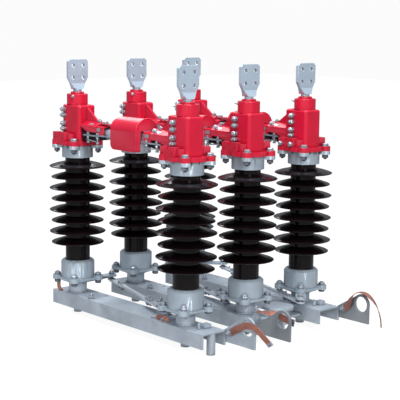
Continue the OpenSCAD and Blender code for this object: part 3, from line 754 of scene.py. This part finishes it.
def hood_nuts(k, side):
    """The nut on the hood's ridge, and on near arms one on its front slope."""
    nuts = Piece(k)
    nuts.bolt(arm_point(side, *RIDGE_NUT), UP, M8_SCREW, 3, 0.2)
    if side == NEAR:
        nuts.bolt(arm_point(side, *SLOPE_NUT), HOOD_NORMAL, M8_SCREW, 3, 0.4)
    nuts.done("hood_nuts_" + tag(k, side), column_body(k, side), "zinc_contact", "bolt_zinc")


for pole, end in COLUMNS:
    for trim in (head_bolts, ear_nuts, arm_black_block, contact_strips, arm_plates, hood_nuts):
        trim(pole, end)


# ---------------------------------------------------------------- rain covers
RIM_R = 1.9
RIM_STEP = 14.0
RIM_INSET = 1.6
RIM_LIFT = 6.5
STAY_SCREW_X = -134
STAY_SCREW_VS = (7, -7)
STAY_SCREW_Z = AXIS_Z + 33.5


def cover_rim(k):
    """The rolled edge round the cover's open end, up one side, over the arch and down."""
    x = COVER_REACH - RIM_INSET
    foot = COVER_FOOT + RIM_LIFT
    arch = COVER_FOOT + COVER_H - COVER_HALF
    first = COVER_HALF if k == 3 else -COVER_HALF
    rising = [foot + i * RIM_STEP for i in range(4)]
    falling = [arch - i * RIM_STEP for i in range(1, 5)] + [foot]
    route = [(x, first, z) for z in rising]
    for degrees in range(0, 181, 9):
        a = math.radians(degrees)
        route.append((x, first * math.cos(a), arch + COVER_HALF * math.sin(a)))
    route += [(x, -first, z) for z in falling]
    rim = Piece(k)
    rim.tube(route, RIM_R, 10)
    rim.done("cover_rim_%d" % k, body_of("far_column", k), "red_paint", "red_paint", sharp=60)


def stay_screws(k):
    screws = Piece(k)
    for v in STAY_SCREW_VS:
        screws.bolt((STAY_SCREW_X, v, STAY_SCREW_Z), UP, M5_SCREW, turn=0.4)
    screws.done("stay_screws_%d" % k, body_of("far_column", k), "zinc_contact", "bolt_zinc")


for pole in POLES:
    cover_rim(pole)
    stay_screws(pole)


# ---------------------------------------------------------------- tie rods
# a lever's reach, and the angles of the far and of the near one, by pole
LEVERS = {1: (142.0, 86.0, 176.0), 2: (142.0, 86.0, 176.0), 3: (130.0, 45.0, -45.0)}
# clamp screws of the rod's ends: distance from the pivot, height of the head's and the nut's face
ROD_SCREWS = ((86, 28.8, 23.2), (112, 32.4, 19.6))
# a bent clip beside each eye: distance from the pivot, to the side, length, heights, thickness
CLIP_REACH, CLIP_ASIDE, CLIP_L, CLIP_FOOT_Z, CLIP_TIP_Z, CLIP_T = 30, 9, 16, 28.6, 36.2, 2.2
LOCK_NUT_REACH = 118
LOCK_NUT = [(7.6, 0), (8.6, 1), (8.6, 10), (7.6, 11)]
COTTER_HALF_W, COTTER_HALF_H, COTTER_R, COTTER_LIFT = 8, 5, 0.9, 13


def pivot(k, side):
    reach, far_angle, near_angle = LEVERS[k]
    a = math.radians(far_angle if side == FAR else near_angle)
    return Vector((side * COLUMN_X + reach * math.cos(a), reach * math.sin(a), 0))


def raised(point, z):
    return point + Vector((0, 0, z))


def rod_parts(k):
    """Screws, bent clips and the lock nut on a pole's tie rod."""
    a, b = pivot(k, FAR), pivot(k, NEAR)
    along = (b - a).normalized()
    across = Vector((-along.y, along.x, 0))
    light = Piece(k)
    # painted shade: the nuts below the rod go in the darker steel, the heads above in the lighter
    # zinc
    dark = Piece(k)
    for eye, way in ((a, along), (b, -along)):
        for reach, head_z, nut_z in ROD_SCREWS:
            at = eye + way * reach
            light.bolt(raised(at, head_z), UP, M8_ROD_SCREW, turn=0.2)
            dark.bolt(raised(at, nut_z), DOWN, M8_ROD_NUT, 3, 0.4)
        foot = eye + way * CLIP_REACH + across * CLIP_ASIDE
        light.slab([raised(foot, CLIP_FOOT_Z), raised(foot + way * CLIP_L, CLIP_FOOT_Z),
                    raised(foot + way * CLIP_L / 2, CLIP_TIP_Z)], across * CLIP_T)
    light.turned(raised(b - along * LOCK_NUT_REACH, ROD_Z), along, LOCK_NUT)
    light.done("rod_bolts_%d" % k, body_of("rod", k), "rod_steel", "bolt_zinc")
    dark.done("rod_nuts_%d" % k, body_of("rod", k), "rod_steel", "shaded_steel")


def pivot_nut(k, side):
    """The nut on a lever's pin, with a cotter ring through the stud's end."""
    nut = Piece(k)
    at = pivot(k, side)
    nut.bolt(raised(at, LEVER_TOP - BED), UP, M12_EAR_SCREW, 4, 0.3)
    ring = [at + Vector((COTTER_HALF_W * c, 2.0, LEVER_TOP + COTTER_LIFT + COTTER_HALF_H * s))
            for c, s in circle(1.0, 20)]
    nut.tube(ring, COTTER_R, 6)
    nut.done("pivot_nut_" + tag(k, side), column_body(k, side), "cast_fittings", "bolt_zinc")


for pole in POLES:
    rod_parts(pole)
    pivot_nut(pole, FAR)
    pivot_nut(pole, NEAR)


# ---------------------------------------------------------------- channels
WEB_BOLTS = ((-173, -32), (173, 32))
BEAD_R, BEAD_OUT, BEAD_Z = 2.4, 1.6, 1.3
BEAD_LUMP_OUT, BEAD_LUMP_UP = 0.5, 0.3
BEAD_STEPS = 72
BEAD_LUMPS = 24


def web_bolts(k):
    """Bolts through the web's holes, seen from above and below."""
    bolts = Piece(k)
    for x, v in WEB_BOLTS:
        bolts.bolt((x, v, -BED), UP, M12_FLANGE_SCREW, 9, 0.4)
        bolts.bolt((x, v, -WEB_T + BED), DOWN, M12_FLANGE_SCREW, 6, 0.2)
    bolts.done("web_bolts_%d" % k, "frame", "galvanised_steel", "bolt_zinc")


def weld_beads(k):
    """A lumpy weld round the foot of each bearing tube."""
    beads = Piece(k)
    for side in (FAR, NEAR):
        ring = []
        for i in range(BEAD_STEPS + 1):
            a = 2 * math.pi * i / BEAD_STEPS
            r = TUBE_R + BEAD_OUT + BEAD_LUMP_OUT * math.sin(a * BEAD_LUMPS)
            ring.append((side * COLUMN_X + r * math.cos(a), r * math.sin(a),
                         BEAD_Z + BEAD_LUMP_UP * math.cos(a * BEAD_LUMPS)))
        beads.tube(ring, BEAD_R, 8)
    beads.done("weld_beads_%d" % k, "frame", "galvanised_steel", "galvanised_steel", sharp=80)


for pole in POLES:
    web_bolts(pole)
    weld_beads(pole)


# ---------------------------------------------------------------- copper straps
# points of each strap from its plate's hole as (x, v, z, twist in degrees), from the bolted end
STRAP_ROUTES = {
    1: [(-84, -1.5, -31, 90), (-70, -1.5, -26, 90), (-56, -3, -17, 90), (-36, -5, -7, 90),
        (-6, -7, 7, 90), (12, -8, 12, 90), (26, -8, 13, 90), (38, -6, 11, 90), (54, 0, -1, 90),
        (67, 8, -17, 90), (76, 15, -29, 90), (85, 22, -42, 90)],
    2: [(-142, 7, 4.5, 0), (-122, 7, 4.5, 0), (-106, 7, 6, 5), (-88, 7, 8, 18), (-66, 9, 9, 40),
        (-42, 11, 8, 65), (-20, 9, 5, 85), (2, 8, 2, 90), (24, 8, -1, 90), (36, 8, -3, 90)],
    3: [(-84, -1.5, -31, 90), (-68, -1.5, -25, 90), (-54, -4, -14, 90), (-42, -10, 1, 80),
        (-32, -12, 17, 50), (-22, -8, 33, 20), (-10, -2, 40, 0), (6, 0, 42, 0), (24, 0, 39, 0),
        (42, 0, 30, -10), (60, 0, 17, -25), (74, 0, 0, -40), (84, 0, -20, -48),
        (90, 0, -41, -48), (92, 0, -61, -48)]}
WEAVE_HALF_W = STRIP_W / 2 - 0.3
WEAVE_HALF_T = STRIP_T / 2 - 0.35
WEAVE_THREADS = 22
WEAVE_RIPPLE = 0.42
SELVEDGE, SELVEDGE_SHARE = 0.8, 0.72
LUG_HALF_W = WEAVE_HALF_W + 0.7
LUG_HALF_T = WEAVE_HALF_T + 0.65
LUG_POINTS = 12
EYE_R = 3.6
EYE_HALF_T = WEAVE_HALF_T + 0.9


def smooth(points, steps):
    """Catmull-Rom curve through points of any dimension."""
    out = []
    n = len(points)
    for i in range(n - 1):
        p0, p1, p2, p3 = (points[max(i - 1, 0)], points[i], points[i + 1],
                          points[min(i + 2, n - 1)])
        for s in range(steps):
            t = s / steps
            out.append(tuple(0.5 * (2 * b + (c - a) * t + (2 * a - 5 * b + 4 * c - d) * t * t
                                    + (3 * b - a - 3 * c + d) * t ** 3)
                             for a, b, c, d in zip(p0, p1, p2, p3)))
    out.append(tuple(points[-1]))
    return out


def strap_frame(points, i):
    """Directions across the width and through the thickness at one point."""
    a, b = points[max(i - 1, 0)], points[min(i + 1, len(points) - 1)]
    along = (Vector(b[:3]) - Vector(a[:3])).normalized()
    up = along.cross(Vector((0, 1, 0))).normalized()
    level = up.cross(along)
    twist = math.radians(points[i][3])
    wide = level * math.cos(twist) + up * math.sin(twist)
    return wide, along.cross(wide)


def woven_strap(k, places):
    """Fine flat bundles that cross over and under, along places of (centre, wide, thick)."""
    rings = []
    length = 0.0
    last = places[0][0]
    for centre, wide, thick in places:
        length += (centre - last).length
        last = centre
        ring = []
        for face in (1, -1):
            for j in range(WEAVE_THREADS + 1):
                w = face * (WEAVE_HALF_W - 2 * WEAVE_HALF_W * j / WEAVE_THREADS)
                ripple = (math.sin(length * 1.35 + w * 1.2 * face)
                          * math.sin(w * 1.9 + length * 0.25) * WEAVE_RIPPLE)
                share = 1.0 if abs(w) < WEAVE_HALF_W - SELVEDGE else SELVEDGE_SHARE
                ring.append(centre + wide * w + thick * face * (WEAVE_HALF_T * share + ripple))
        rings.append(ring)
    woven = Piece(k)
    woven.loft(rings)
    obj = woven.done("woven_strap_%d" % k, "frame", "copper_strap", "copper_strap", sharp=60)
    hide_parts("copper_strap_%d" % k)


def strap_lugs(k, places, side):
    """Flat tinned sleeves on the strap's ends, and the bolt of the fixed end."""
    spans = [places[:LUG_POINTS]]
    if k != 3:
        spans.append(places[:-LUG_POINTS:-1])
    lugs = Piece(k)
    for span in spans:
        lugs.loft([[centre + wide * (a * LUG_HALF_W) + thick * (b * LUG_HALF_T)
                    for a, b in ((-1, -1), (1, -1), (1, 1), (-1, 1))]
                   for centre, wide, thick in span])
    centre, wide, thick = places[5]
    faces_out = thick.z > 0 if k == 2 else thick.y * side < 0
    outward = thick if faces_out else -thick
    lugs.bolt(centre + outward * (WEAVE_HALF_T + 0.5), outward, M8_SCREW, 5, 0.3)
    lugs.done("strap_lugs_%d" % k, "frame", "copper_strap", "bolt_zinc")


def lug_eye(k, places):
    """A dark plug in a loose end's lug hole, as painted shade of the hole."""
    centre, wide, thick = places[-6]
    eye = Piece(k)
    eye.turned(centre - thick * EYE_HALF_T, thick, [(EYE_R, 0), (EYE_R, 2 * EYE_HALF_T)], 20)
    eye.done("lug_eye_%d" % k, "frame", "copper_strap", "shaded_steel")


def copper_strap(k):
    side = -1 if k == 2 else 1
    origin = Vector((PLATE_HOLE_X, side * CHANNEL_HALF, PLATE_HOLE_Z))
    points = smooth(STRAP_ROUTES[k], 14)
    places = [(origin + Vector(p[:3]), *strap_frame(points, i)) for i, p in enumerate(points)]
    woven_strap(k, places)
    strap_lugs(k, places, side)
    if k != 3:
        lug_eye(k, places)


for pole in POLES:
    copper_strap(pole)


# ---------------------------------------------------------------- bonding braids at pole 1's feet
FAR_BRAID = [(-338, -42, 1.5), (-345, -44, 2.5), (-350, -46, 10), (-351.5, -47, 20),
             (-351.5, -47, 31)]
NEAR_BRAID = [(196, -34, 1.5), (203, -33, 9), (214, -31, 14.5), (228, -30, 14.0), (237, -29, 8),
              (243, -28, 1.5)]
BRAID_WIDE = Vector((0.86, 0.5, 0))
BRAID_THREADS = 8


def braid(k, name, route, width, thickness):
    """A short woven bonding strap fixed beside a column."""
    points = smooth(route, 10)
    rings = []
    for i, p in enumerate(points):
        a, b = Vector(points[max(i - 1, 0)]), Vector(points[min(i + 1, len(points) - 1)])
        along = (b - a).normalized()
        wide = (BRAID_WIDE - along * BRAID_WIDE.dot(along)).normalized()
        thick = along.cross(wide)
        ring = []
        for face in (1, -1):
            for j in range(BRAID_THREADS + 1):
                w = (width / 2 - width * j / BRAID_THREADS) * face
                ripple = 0.25 * math.sin(i * 1.1 + w * 1.3 * face)
                ring.append(Vector(p) + wide * w + thick * face * (thickness / 2 + ripple))
        rings.append(ring)
    piece = Piece(k)
    piece.loft(rings)
    piece.done(name, "frame", "copper_strap", "copper_strap", sharp=60)


braid(1, "bond_far_1", FAR_BRAID, 13, 2.4)
braid(1, "bond_near_1", NEAR_BRAID, 14, 2.2)


# ---------------------------------------------------------------- floor and light
SEEN_WORLD = 0.97
WORLD_LOW = (0.45, (0.13, 0.135, 0.15, 1))
WORLD_HIGH = (1.0, (0.66, 0.69, 0.75, 1))
FLOOR_HALF = 14.0
FLOOR_GLOW = 0.32
FLOOR_GLOW_SEEN = 0.92
# each lamp's place, aim, width and height in metres, watts and colour
LAMPS = {
    "key": ((3.4, -1.2, 2.0), (0, 0, 0.35), (0.8, 1.6), 72.0, (1.0, 0.99, 0.97)),
    "front": ((0.9, -3.6, 1.5), (0, 0, 0.3), (0.5, 1.8), 24.0, (0.97, 0.98, 1.0)),
    "edge": ((2.7, -3.3, 1.3), (0, 0, 0.5), (0.16, 1.6), 14.0, (1.0, 0.99, 0.99)),
    "top": ((0.5, -0.5, 3.0), (0, 0, 0.3), (1.5, 1.5), 78.0, (0.95, 0.98, 1.0)),
    "back": ((-2.5, 0.9, 2.3), (0, 0, 0.4), (1.8, 1.0), 26.0, (0.97, 0.98, 1.0))}


def make_world():
    """A white background for camera rays; for all others a room that is dark below, grey above."""
    world = bpy.data.worlds.new("studio")
    world.use_nodes = True
    tree = world.node_tree
    out = tree.nodes["World Output"]
    seen = tree.nodes["Background"]
    seen.inputs["Color"].default_value = (1.0, 1.0, 1.0, 1)
    seen.inputs["Strength"].default_value = SEEN_WORLD
    lit = tree.nodes.new("ShaderNodeBackground")
    coord = tree.nodes.new("ShaderNodeTexCoord")
    split = tree.nodes.new("ShaderNodeSeparateXYZ")
    ramp = tree.nodes.new("ShaderNodeValToRGB")
    level = tree.nodes.new("ShaderNodeMapRange")
    level.inputs["From Min"].default_value = -1.0
    level.inputs["From Max"].default_value = 1.0
    path = tree.nodes.new("ShaderNodeLightPath")
    mix = tree.nodes.new("ShaderNodeMixShader")
    for stop, (at, colour) in zip(ramp.color_ramp.elements, (WORLD_LOW, WORLD_HIGH)):
        stop.position = at
        stop.color = colour
    for a, b in ((coord.outputs["Generated"], split.inputs[0]), (split.outputs[2], level.inputs[0]),
                 (level.outputs[0], ramp.inputs[0]), (ramp.outputs[0], lit.inputs["Color"]),
                 (path.outputs["Is Camera Ray"], mix.inputs[0]), (lit.outputs[0], mix.inputs[1]),
                 (seen.outputs[0], mix.inputs[2]), (mix.outputs[0], out.inputs["Surface"])):
        tree.links.new(a, b)
    bpy.context.scene.world = world


def area(name, at, towards, size, energy, colour):
    data = bpy.data.lights.new(name, "AREA")
    data.shape = "RECTANGLE"
    data.size, data.size_y = size
    data.energy = energy
    data.color = colour
    lamp = bpy.data.objects.new(name, data)
    lamp.location = at
    lamp.rotation_euler = (Vector(towards) - Vector(at)).to_track_quat("-Z", "Y").to_euler()
    bpy.context.scene.collection.objects.link(lamp)


def pale_floor():
    """Mid grey that glows a little, and glows near white to camera rays."""
    n = Nodes("pale_floor")
    tone = n.ramp(n.noise(1.5, 2.0, 0.5), (0.3, (0.13, 0.13, 0.13)), (0.7, (0.15, 0.15, 0.15)))
    seen = n.new("ShaderNodeLightPath").outputs["Is Camera Ray"]
    glow = n.between(seen, 0.0, 1.0, FLOOR_GLOW, FLOOR_GLOW_SEEN)
    return n.finish(Base_Color=tone, Roughness=0.9, Specular_IOR_Level=0.1,
                    Emission_Strength=glow, Emission_Color=(1.0, 1.0, 1.0))


def make_stage():
    low = CAD_BOX[0][2]
    s = FLOOR_HALF
    mesh = bpy.data.meshes.new("floor")
    mesh.from_pydata([(-s, -s, low), (s, -s, low), (s, s, low), (-s, s, low)], [], [(0, 1, 2, 3)])
    mesh.materials.append(pale_floor())
    floor = bpy.data.objects.new("floor", mesh)
    bpy.context.scene.collection.objects.link(floor)
    make_world()
    for name, lamp in LAMPS.items():
        area(name, *lamp)


make_stage()
bpy.context.scene.view_settings.view_transform = "Standard"
